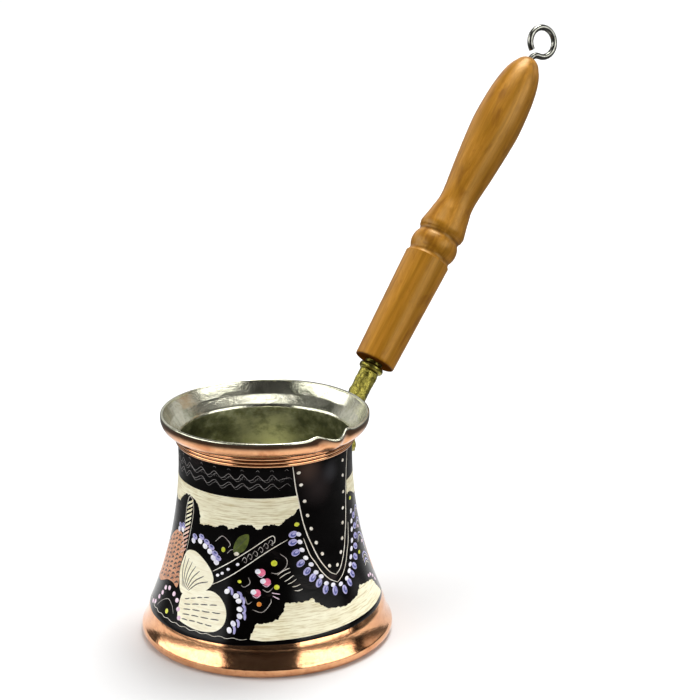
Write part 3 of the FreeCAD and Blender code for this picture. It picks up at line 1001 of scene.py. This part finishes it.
def rope_stem(brush):
    """The twisted stem that rises from the flower into the notch of the cream band."""
    strands = 12
    for i in range(strands):
        share = i / (strands - 1)
        a = -54.4 - 2.2 * share
        z = 60.0 - 19.5 * share
        half = 3.3 - 0.7 * share
        colour = "cream" if i < 6 else "pink_cream"
        strand = [
            (a - half, z - 1.5), (a - half * 0.3, z - 0.5), (a + half * 0.5, z + 0.35),
            (a + half, z + 1.3)]
        brush.stroke(colour, strand, 0.95, 0.07, ends=0.3)
    border = [
        (-59, 40.5), (-58.8, 50), (-58.4, 57), (-56, 61.6), (-52.6, 61.6), (-50.2, 57.5), (-51.3, 50),
        (-53, 40.5)]
    brush.stroke("ivory", border, 0.32, 0.05)


def fan_flower(brush):
    """Cream petals with dark ribs on the right, a bare copper patch of scales on the left."""
    upper = [
        (-50.5, 25.8), (-54, 29.5), (-55.8, 34), (-53.6, 39.6), (-50.5, 41.8), (-44, 42.3),
        (-37, 40.4), (-32, 37.8), (-29.6, 35.6), (-28.8, 33.2), (-31, 30.6), (-36, 28), (-43, 25.8)]
    brush.fill("petal", upper, 0.035)
    for i in range(7):
        share = i / 6
        top = (-52.6 + 20.5 * share, 39.4 - 6.6 * share ** 1.5)
        foot = (-50.5 + 5.5 * share, 28.0 - 0.6 * share)
        bend = ((top[0] + foot[0]) / 2 - 1.5 + share, (top[1] + foot[1]) / 2 + 0.9 * share)
        brush.stroke("umber", [foot, bend, top], 0.62, 0.06)
    lower = [
        (-49, 25.4), (-44, 26.2), (-37, 28.4), (-30, 29.8), (-25, 28.9), (-22, 27.2), (-19.8, 24.9),
        (-18.9, 22), (-19.6, 19), (-22, 16.8), (-26, 15.5), (-33, 15.0), (-41, 15.5), (-47.5, 16.6),
        (-49.3, 20)]
    brush.fill("petal", lower, 0.045)
    tips = [(-29.5, 27.4), (-24, 25.2), (-21.4, 22.6), (-21.9, 20.0), (-25.4, 17.6)]
    for i, tip in enumerate(tips):
        root = (-46.5 + 0.3 * i, 24.0 - 1.75 * i)
        for k in range(4):
            points = []
            for share in (0.02 + k * 0.25, 0.12 + k * 0.25, 0.22 + k * 0.25):
                rise = 0.35 * math.sin(share * math.pi) + random.uniform(-0.12, 0.12)
                across, up = tip[0] - root[0], tip[1] - root[1]
                points.append((root[0] + across * share, root[1] + up * share + rise))
            brush.stroke("umber", points, 0.62, 0.07)
    patch = [
        (-57.8, 44.6), (-62, 46.4), (-70, 45.6), (-79, 41), (-87, 34), (-88, 24), (-80, 23),
        (-74, 24.4), (-67, 26.6), (-60, 27.2), (-55, 26.4), (-54.6, 30), (-56.4, 34), (-55.4, 40)]
    brush.fill("bare_copper", patch, 0.03)
    columns = [((-56.6, 28.2), (-58.6, 43.2)), ((-62, 28.4), (-62.6, 45)), ((-67.5, 28), (-67, 44.8)),
               ((-73.5, 26.6), (-72.2, 43)), ((-80, 25.4), (-78, 40))]
    for low, high in columns:
        rows = int((high[1] - low[1]) / 1.75)
        for row in range(rows + 1):
            share = row / rows
            a = low[0] + (high[0] - low[0]) * share
            z = low[1] + (high[1] - low[1]) * share + random.uniform(-0.15, 0.15)
            brush.stroke("umber", [(a - 1.9, z - 0.8), (a, z + 0.2), (a + 1.6, z + 0.1)], 1.0, 0.06)


def flower_border(brush):
    """Strings of dots round the flower and the hairline below it."""
    arc = [
        (-65.5, 47), (-60.8, 47.8), (-47.5, 46), (-41.7, 46.8), (-37.3, 45.5), (-33.5, 44),
        (-30.5, 42), (-28.2, 40.6)]
    for a, z in arc:
        brush.dot("white", a, z, 1.3, 1.1, -18, 0.11)
        brush.dot("lavender", a + 0.9, z + 1.7, 1.6, 1.15, -18, 0.06)
        brush.dot("blue", a + 1.1, z + 2.1, 0.95, 0.5, -18, 0.075)
    chain = [
        (-78, 14.8), (-74, 15.8), (-71, 18.7), (-68.5, 21), (-66.5, 23.5), (-62, 24.5), (-56, 23.7),
        (-52, 22.2), (-49.2, 19.5), (-47, 16.8)]
    brush.dots("pale_pink", chain, 1.2, 0.95, 10, 0.1)
    brush.stroke("silver", [(-70, 15.8), (-66, 18.6), (-60, 20.8), (-55, 19.6), (-52, 17.2)], 0.34)
    brush.dot("yellow", -58, 16.6, 1.15, 1.0)
    hairline = [(-89 + 3.4 * i, 14.45 + 0.22 * (-1) ** i) for i in range(25)]
    brush.stroke("ivory", hairline, 0.22, 0.03)
    ring = [
        (-19.8, 30.8), (-14.5, 29.5), (-12.8, 27.8), (-12, 24.9), (-11.8, 22.4), (-14.8, 19.6),
        (-16.5, 17.2)]
    for i, (a, z) in enumerate(ring):
        lean = 35 - 16 * i
        brush.dot("white", a, z, 1.25, 1.02, lean, 0.1)
        out = math.radians(lean)
        bow = [
            (a + 0.8 - 1.0 * math.sin(out), z + 1.5), (a + 2.6, z + 0.8),
            (a + 2.9 + math.sin(out) * 0.3, z - 1.2)]
        brush.stroke("lavender", bow, 1.25, 0.06)
    brush.stroke("silver", [(-30, 48.3), (-25.5, 50.8), (-21.5, 49.5), (-19.8, 48), (-21, 46.9)], 0.42)
    brush.dot("yellow", -24.2, 45.8, 0.9, 1.05)


def diagonal_spray(brush):
    """The ribbon that climbs to the right, and the berries, leaf and curls beneath it."""
    leaf = [
        (-17.6, 45.4), (-17.2, 48.4), (-14.2, 51.4), (-8.6, 52.6), (-8.4, 49.6), (-10.6, 46.6),
        (-14, 45.2)]
    brush.fill("olive", leaf, 0.04)
    brush.stroke("olive_dark", [(-17.4, 46.2), (-13, 48.9), (-9.2, 51.6)], 0.3, 0.06)
    brush.stroke("silver", [(-21.5, 44.6), (-19.5, 46), (-17.6, 46.4)], 0.35)
    brush.dot("ivory", -15.6, 44.9, 1.15, 0.8, 10)
    ribbon_top = [
        (-30, 37), (-20, 41.2), (-10, 45.6), (4, 51.5), (7.3, 51.6), (7.4, 49.6), (5.6, 49.2)]
    ribbon_foot = [(-30, 32), (-24, 34.2), (-17.5, 37), (-10, 40.5), (0, 45), (8, 48), (15.5, 50.3)]
    for line in (ribbon_top, ribbon_foot):
        brush.stroke("ivory", line, 0.42)
    brush.dots("white", [(-26.5, 36), (-23.7, 37), (-20.2, 38.8), (-14.6, 41.0)], 0.78, 0.6, 20)
    for a, z in [(-10.5, 42.2), (-7.4, 43.6), (-4.2, 44.8), (-1, 46.3), (2.2, 47.7), (5.2, 48.9)]:
        curl = [
            (a - 1.6, z + 0.2), (a - 0.4, z + 1.6), (a + 1.2, z + 0.9), (a + 0.8, z - 0.4),
            (a - 0.3, z + 0.1)]
        brush.stroke("silver", curl, 0.36)
    for a, z, side in [(-0.5, 38.5, -2.5), (2.5, 35, -2.6), (-3, 31, -2.3)]:
        brush.dot("pink", a, z, 1.6, 1.5, 0, 0.08)
        cup = [(a - 2.6, z - 0.9), (a - 0.2, z - 1.75), (a + 2.2, z - 0.6)]
        brush.stroke("pale_pink", cup, 0.3, 0.1)
        brush.dot("white", a + side + 0.5, z + 0.3, 1.25, 1.05, 0, 0.12)
    brush.dot("yellow", 6.8, 41.8, 1.3, 1.2)
    brush.dot("yellow", 7.8, 33, 1.15, 1.0)
    brush.dot("orange_dot", -1.8, 27, 1.0, 0.95)
    brush.dot("yellow", -13, 34.8, 0.85, 0.65)
    curls = [
        [(10.4, 45.2), (14.3, 42.9), (13.4, 40), (8.5, 38), (5, 38.3)],
        [(-12, 33.5), (-10, 33), (-7, 34.5), (-8, 36.5)],
        [(-5.3, 25), (0, 24.2), (4.2, 27.2), (4.5, 28.8)],
        [(0, 32.3), (3, 31.4), (6, 33)],
        [(-9.5, 29.5), (-8, 27), (-5.6, 27.8)],
    ]
    for curl in curls:
        brush.stroke("silver", curl, 0.4)
    for line in ([(5, 31), (9.5, 30.4)], [(5.5, 29.9), (9, 28.6)]):
        brush.stroke("pale_pink", line, 0.42, 0.07)
    feathers = [[(8.5, 37.4), (12, 38.8), (15.8, 39.6)], [(9.5, 36.1), (12.5, 37.3), (16.3, 38.2)],
                [(12.3, 34.8), (15, 35.7), (17.8, 36.8)], [(14, 33.8), (16.5, 34.3), (19.3, 35.3)],
                [(16.5, 32.7), (18.5, 32.7), (21.3, 33.2)], [(17.5, 31.2), (20, 31), (22.4, 31.4)]]
    for line in feathers:
        brush.stroke("ivory", line, 0.34)


def side_spray(brush):
    """Curls and dots between the medallion's garland and the next flower."""
    loops = [[(74.5, 33.2), (79, 34.4), (84, 32.6), (88, 29.6)], [(75.5, 31), (80, 31.6), (84, 29.8)],
             [(73, 41), (78, 42.6), (83, 41), (86, 37.6), (84, 35.6)],
             [(76, 46), (81, 48), (86, 46), (89, 42)], [(77, 51), (82, 52.8), (87, 51), (90.5, 47.5)]]
    for line in loops:
        brush.stroke("lavender", line, 0.7, 0.06)
        brush.stroke("ivory", [(a, z - 1.2) for a, z in line], 0.3)
    buds = [(76, 25.6), (79.5, 25.2), (83, 23.6), (86, 21.4), (82, 38.2), (80, 44.8)]
    brush.dots("pale_pink", buds, 1.0, 0.7, -20, 0.1)


for half_turn in (0.0, HALF_TURN):
    half_brush = Brush(half_turn)
    for motif in (cream_bands, neck_squiggles, medallion, rope_stem, fan_flower, flower_border,
                  diagonal_spray, side_spray):
        motif(half_brush)

# Light and dark tones of each paint, and for the hatched ones how strong the lines are.
HATCHED_PAINTS = {
    "cream": ((246, 242, 214), (196, 180, 132), 0.75),
    "petal": ((250, 246, 222), (212, 198, 156), 0.4),
    "bare_copper": ((214, 158, 122), (150, 92, 62), 0.75),
}
DAB_PAINTS = {
    "pink_cream": ((236, 206, 190), (206, 150, 132)),
    "ivory": ((242, 238, 226), (206, 196, 176)),
    "white": ((250, 248, 250), (214, 212, 230)),
    "silver": ((176, 170, 164), (118, 110, 106)),
    "smoke": ((128, 124, 122), (78, 74, 72)),
    "lavender": ((190, 184, 226), (138, 134, 190)),
    "blue": ((84, 92, 160), (52, 62, 124)),
    "pink": ((240, 130, 160), (216, 84, 122)),
    "pale_pink": ((244, 220, 232), (210, 170, 200)),
    "yellow": ((226, 228, 62), (182, 190, 28)),
    "orange_dot": ((238, 164, 60), (206, 118, 36)),
    "olive": ((84, 96, 20), (52, 62, 8)),
    "olive_dark": ((44, 50, 12), (28, 32, 8)),
    "umber": ((40, 24, 14), (20, 12, 8)),
}
for colour, shells in paints.items():
    name = f"paint_{colour}"
    if colour in HATCHED_PAINTS:
        material = hatched_paint(name, *HATCHED_PAINTS[colour])
    else:
        material = dab_paint(name, *DAB_PAINTS[colour])
    make_piece(name, shells, material, "pot", crease=60.0)


# ---- wooden handle ----

wood_length = 146.0
wood_end_radius = 8.4
wood_end_round = 0.6
sleeve_end = (48.2, 9.5)
lower_groove = (49.9, 8.75)
bead_start = (51.3, 9.15)
bead_peak = (54.4, 9.82)
bead_end = (57.5, 9.15)
upper_groove = (59.0, 8.65)
shoulder = (60.6, 9.35)
grip_curve = [
    (62.4, 9.68), (69.6, 8.20), (77.0, 7.30), (91.6, 8.68), (105.3, 9.80), (113.8, 10.18),
    (125.0, 9.65), (133.2, 8.62), (139.3, 7.05), (143.4, 4.95)]
tip_round_mid = (145.3, 3.30)
tip_flat_radius = 2.1
stud_radius = 2.5
stud_bore = 2.55
stud_bore_end = 29.0
eye_wire_radius = 1.3
eye_shank_depth = 12.0


def wood_outline():
    """From the bottom of the stud's bore, out round the handle, to the bottom of the eye's hole."""
    corner = wood_end_round * (1 - math.sqrt(0.5))
    end = (wood_end_round, wood_end_radius)
    along = joined(
        arc_through(
            (0, wood_end_radius - wood_end_round), (corner, wood_end_radius - corner), end, 5),
        straight(end, sleeve_end, 40),
        arc_through(sleeve_end, lower_groove, bead_start, 10),
        arc_through(bead_start, bead_peak, bead_end, 14),
        arc_through(bead_end, upper_groove, shoulder, 10),
        straight(shoulder, grip_curve[0], 3),
        [tuple(p) for p in smooth_curve(grip_curve, 1.2)],
        arc_through(grip_curve[-1], tip_round_mid, (wood_length, tip_flat_radius), 8),
    )
    outside = [(radius, distance) for distance, radius in along]
    eye_hole = wood_length - eye_shank_depth
    inside = [(eye_wire_radius, wood_length), (eye_wire_radius, eye_hole), (0, eye_hole)]
    bore = [(0, stud_bore_end), (stud_bore, stud_bore_end), (stud_bore, 0)]
    return bore + outside + inside


def turned_waver(x, y, z):
    """Tool marks and a very slight lack of roundness."""
    radius = math.hypot(x, y)
    if radius < wood_end_radius / 2 or z < wood_end_round:
        return (x, y, z)
    turn = math.atan2(y, x)
    change = 0.03 * math.sin(2 * turn + z * 0.03) + 0.012 * math.sin(z * 4.1)
    return (x * (1 + change / radius), y * (1 + change / radius), z)


wood = spun(wood_outline(), even_turns(128), turned_waver)
wood.points = along_handle(wood.points)
make_piece("turned_handle", wood, wood_material(), "handle", "wooden_handle")

# ---- collar, threaded stud and screw eye ----

collar_radius = 5.1
collar_thickness = 4.2
collar_neck_length = 1.2
collar_edge_round = 1.4
collar_end_gap = 0.05
collar_bore_clearance = 0.08


def collar_outline():
    low = -(collar_thickness + collar_end_gap)
    high = -collar_end_gap
    bore = stud_radius + collar_bore_clearance
    rim = collar_radius - collar_edge_round
    neck = high - collar_neck_length
    return joined(
        straight((bore, low), (rim, low), 3),
        arc_through((rim, low), (collar_radius, (low + neck) / 2), (rim, neck), 18),
        straight((rim, neck), (rim, high), 2),
        straight((rim, high), (bore, high), 2),
    )


collar = spun(collar_outline(), even_turns(72))
collar.points = along_handle(collar.points)
collar_metal = brass_material("collar_brass", (150, 142, 66), (58, 54, 14), 0.15, 0.16)
make_piece("brass_collar", collar, collar_metal, "collar", "collar")

thread_pitch = 0.8
thread_depth = 0.42
stud_in_shank = 12.0
stud_in_wood = 28.0
stud_low = -(collar_thickness + 2 * collar_end_gap) - stud_in_shank


stud_point_length = 1.2
stud_point_depth = 0.35
rod_sides = 40
rows_per_turn = 10


def threaded_rod():
    """A rod with a real helical thread and plain pointed ends."""
    length = stud_in_wood - stud_low
    rows = int(length / thread_pitch * rows_per_turn)
    points = []
    for i in range(rows + 1):
        z = stud_low + length * i / rows
        fade = min(1.0, (z - stud_low) / stud_point_length, (stud_in_wood - z) / stud_point_length)
        for k in range(rod_sides):
            turn = math.tau * k / rod_sides
            phase = (z / thread_pitch - k / rod_sides) % 1.0
            groove = thread_depth * (1 - abs(2 * phase - 1)) * fade
            radius = stud_radius - groove - stud_point_depth * (1 - fade)
            points.append((radius * math.cos(turn), radius * math.sin(turn), z))
    return Shells(along_handle(points), tube_faces(rows + 1, rod_sides))


stud_metal = plain_metal("stud_steel", (190, 190, 186), (130, 128, 122), 0.22)
make_piece("threaded_stud", threaded_rod(), stud_metal, "pot", "handle_stud", 60.0)

eye_ring_radius = 6.15
eye_ring_offset = 1.28
eye_bend_radius = 3.6
eye_ring_end_angle = 243.0
eye_turn = -17.5


eye_wire_sides = 28
eye_shank_steps = 12
eye_bend_steps = 12
eye_ring_steps = 90


def on_circle(centre, radius, angle):
    return (centre[0] + radius * math.cos(angle), centre[1] + radius * math.sin(angle))


def screw_eye():
    """A wire that comes straight out of the wood, bends aside and turns into an open ring."""
    start = wood_length - eye_shank_depth
    reach = eye_bend_radius + eye_ring_radius
    aside = eye_bend_radius - eye_ring_offset
    ring_height = wood_length + math.sqrt(reach ** 2 - aside ** 2)
    meet = math.atan2(wood_length - ring_height, aside)
    end = math.radians(eye_ring_end_angle)
    path = [(0, start + eye_shank_depth * i / eye_shank_steps) for i in range(eye_shank_steps)]
    for i in range(eye_bend_steps):
        angle = math.pi + meet * i / eye_bend_steps
        path.append(on_circle((eye_bend_radius, wood_length), eye_bend_radius, angle))
    for i in range(eye_ring_steps + 1):
        angle = meet + (end - meet) * i / eye_ring_steps
        path.append(on_circle((eye_ring_offset, ring_height), eye_ring_radius, angle))
    turn = math.radians(eye_turn)
    path = [(x * math.cos(turn), x * math.sin(turn), z) for x, z in path]
    points, faces = swept(path, eye_wire_radius, eye_wire_sides)
    return Shells(along_handle(points), faces)


eye_metal = plain_metal("bright_nickel", (136, 136, 128), (88, 86, 80), 0.06)
make_piece("screw_eye", screw_eye(), eye_metal, "handle", "hanging_eye", 60.0)

# ---- cast bracket, kept from the CAD with a rougher skin, and its rivets ----

skin_grid = 0.35
lump_size = 2.2
lump_height = 0.7

bracket = frame["nodes"]["handle_bracket"]
bracket.data.materials.clear()
bracket.data.materials.append(brass_material("cast_brass", (172, 162, 76), (58, 54, 10), 0.5, 0.14))
skin = bracket.modifiers.new("even_skin", "REMESH")
skin.mode = "VOXEL"
skin.voxel_size = skin_grid * MM
skin.use_smooth_shade = True
lumps = bpy.data.textures.new("cast_lumps", "CLOUDS")
lumps.noise_scale = lump_size * MM
lumps.noise_depth = 3
cast = bracket.modifiers.new("cast_skin", "DISPLACE")
cast.texture = lumps
cast.texture_coords = "LOCAL"
cast.mid_level = 0.5
cast.strength = lump_height * MM

rivet_places = [(-13.4, 73.4), (13.4, 73.4), (0.0, 53.6)]
rivet_radius = 1.5
rivet_head_radius = 2.7
rivet_head_height = 1.3
rivet_cover = 0.25
plate_thickness = 2.0


rivet_overlap = 0.3
rivet_dent = 0.12


def rivets():
    """Hammered copper rivets, square to the wall, with domed heads outside and tinned over inside."""
    shells = Shells()
    face = lacquer_thickness + plate_thickness
    back = -sheet_thickness + rivet_cover
    sunk = face - rivet_overlap
    shoulder_point = (rivet_head_radius * 0.72, face + rivet_head_height * 0.62)
    dome = arc_through(
        (rivet_head_radius, face), shoulder_point, (0, face + rivet_head_height), 12)
    outline = [(0, back), (rivet_radius, back), (rivet_radius, sunk), (rivet_head_radius, sunk)]
    head = spun(outline + dome, even_turns(28))
    for index, (side, height) in enumerate(rivet_places):
        turn = math.asin(side / wall_radius(height))
        slope = (wall_radius(height + 1) - wall_radius(height - 1)) / 2
        outward = np.array([math.cos(turn), math.sin(turn), 0])
        away = (outward - slope * np.array([0, 0, 1])) / math.hypot(1, slope)
        upward = (slope * outward + np.array([0, 0, 1])) / math.hypot(1, slope)
        across = np.array([-math.sin(turn), math.cos(turn), 0])
        middle = wall_radius(height) * outward + np.array([0, 0, height])
        points = []
        for x, y, z in head.points:
            hammered = noise.noise((x * 0.9 + 7 * index, y * 0.9, z * 0.6))
            dent = rivet_dent * hammered if z > face else 0.0
            points.append(middle + (z + dent) * away + x * across + y * upward)
        shells.add(points, head.faces)
    return shells


rivet_metal = plain_metal("rivet_copper", (222, 150, 112), (160, 92, 62), 0.25)
make_piece("bracket_rivet_heads", rivets(), rivet_metal, "pot", "bracket_rivets", 50.0)

# ---- floor, light and camera ----

# The camera stands where the photo's fitted perspective puts it, in metres and degrees.
CAMERA_PLACE = (-0.4924, -0.5386, 0.332)
CAMERA_TURN = 45.0
CAMERA_DROP = 16.65
CAMERA_LENS = 102.857
SENSOR_WIDTH = 36.0
FARTHEST_SEEN = 50.0
FLOOR_HALF_SIZE = 8.0
FLOOR_NEAR_SHADE = 0.7
LAMP_PLACE = (0.55, 0.15, 1.5)
LAMP_TARGET = (0, 0, 0.08)
LAMP_SIZE = 0.8
LAMP_POWER = 22.0
STUDIO_STRENGTH = 4.0


def to_scene(name, data):
    holder = bpy.data.objects.new(name, data)
    bpy.context.scene.collection.objects.link(holder)
    return holder


def make_floor():
    """A pale floor, darkened near the pot by painted shade and fading to white away from it, that
    lights the pot's foot only from near.
    """
    r = FLOOR_HALF_SIZE
    mesh = bpy.data.meshes.new("floor")
    mesh.from_pydata([(-r, -r, 0), (r, -r, 0), (r, r, 0), (-r, r, 0)], [], [(0, 1, 2, 3)])
    s = Shader("pale_floor")
    seen = s.add("ShaderNodeLightPath").outputs["Is Camera Ray"]
    distance = s.add("ShaderNodeVectorMath", {0: s.place()}, operation="LENGTH").outputs["Value"]
    bounce = s.ramp(s.math("DIVIDE", distance, 600.0), [(0.2, 0.8), (0.36, 0.1)])
    # Painted shade: the floor the camera sees is darker near the pot, where the shadow falls, and
    # white farther out.
    sweep = s.ramp(s.math("DIVIDE", distance, 3000.0), [(0.06, FLOOR_NEAR_SHADE), (0.5, 1.0)])
    base = s.mix(seen, bounce, sweep)
    mesh.materials.append(s.finish(base_color=base, roughness=0.9, specular_ior_level=0.0))
    to_scene("floor", mesh)


def make_studio():
    """Soft light from all round, in bright and dim strips that the metal mirrors."""
    world = bpy.data.worlds.new("studio")
    bpy.context.scene.world = world
    world.use_nodes = True
    s = Nodes(world.node_tree)
    way = s.add("ShaderNodeTexCoord").outputs["Generated"]
    turned = s.add(
        "ShaderNodeVectorRotate", {"Vector": way, "Angle": math.radians(CAMERA_TURN)},
        rotation_type="Z_AXIS")
    split = s.add("ShaderNodeSeparateXYZ", {"Vector": turned.outputs[0]})
    azimuth = s.math("ARCTAN2", split.outputs["Y"], split.outputs["X"])
    share = s.math("MULTIPLY_ADD", azimuth, 1 / math.tau, 0.5)
    # Brightness by azimuth, then how much of it is left by height, then the light from above.
    bright, dim, even = 3.9, 0.05, 0.9
    strips = [
        (-180, bright), (-132, bright), (-128, dim), (-60, dim), (-56, bright), (-6, bright),
        (-2, dim), (8, dim), (12, even), (140, even), (156, dim), (160, bright), (180, bright)]
    sides = s.ramp(share, [((a + 180) / 360, v / STUDIO_STRENGTH) for a, v in strips])
    height = s.math("MULTIPLY_ADD", split.outputs["Z"], 0.5, 0.5)
    side_share = s.ramp(height, [(0.44, 0.1), (0.54, 0.22), (0.6, 1.0), (0.77, 1.0), (0.81, 0.04)])
    top = [(0.77, 0.0), (0.81, 0.05), (0.965, 0.09), (0.985, 3.2)]
    above = s.ramp(height, [(place, v / STUDIO_STRENGTH) for place, v in top])
    total = s.mix(1.0, s.mix(1.0, sides, side_share, "MULTIPLY"), above, "ADD")
    s.feed(world.node_tree.nodes["Background"], {"Color": total, "Strength": STUDIO_STRENGTH})


def make_lamp():
    lamp = bpy.data.lights.new("overhead_lamp", "AREA")
    lamp.shape = "DISK"
    lamp.size = LAMP_SIZE
    lamp.energy = LAMP_POWER
    holder = to_scene("overhead_lamp", lamp)
    holder.location = LAMP_PLACE
    aim = Vector(LAMP_TARGET) - Vector(LAMP_PLACE)
    holder.rotation_euler = aim.to_track_quat("-Z", "Y").to_euler()


def make_camera():
    data = bpy.data.cameras.new("camera")
    data.lens = CAMERA_LENS
    data.sensor_width = SENSOR_WIDTH
    data.clip_end = FARTHEST_SEEN
    camera = to_scene("camera", data)
    camera.location = CAMERA_PLACE
    camera.rotation_euler = (math.radians(90 - CAMERA_DROP), 0.0, math.radians(-CAMERA_TURN))
    bpy.context.scene.camera = camera


make_floor()
make_studio()
make_lamp()
make_camera()
bpy.context.scene.view_settings.view_transform = "Standard"
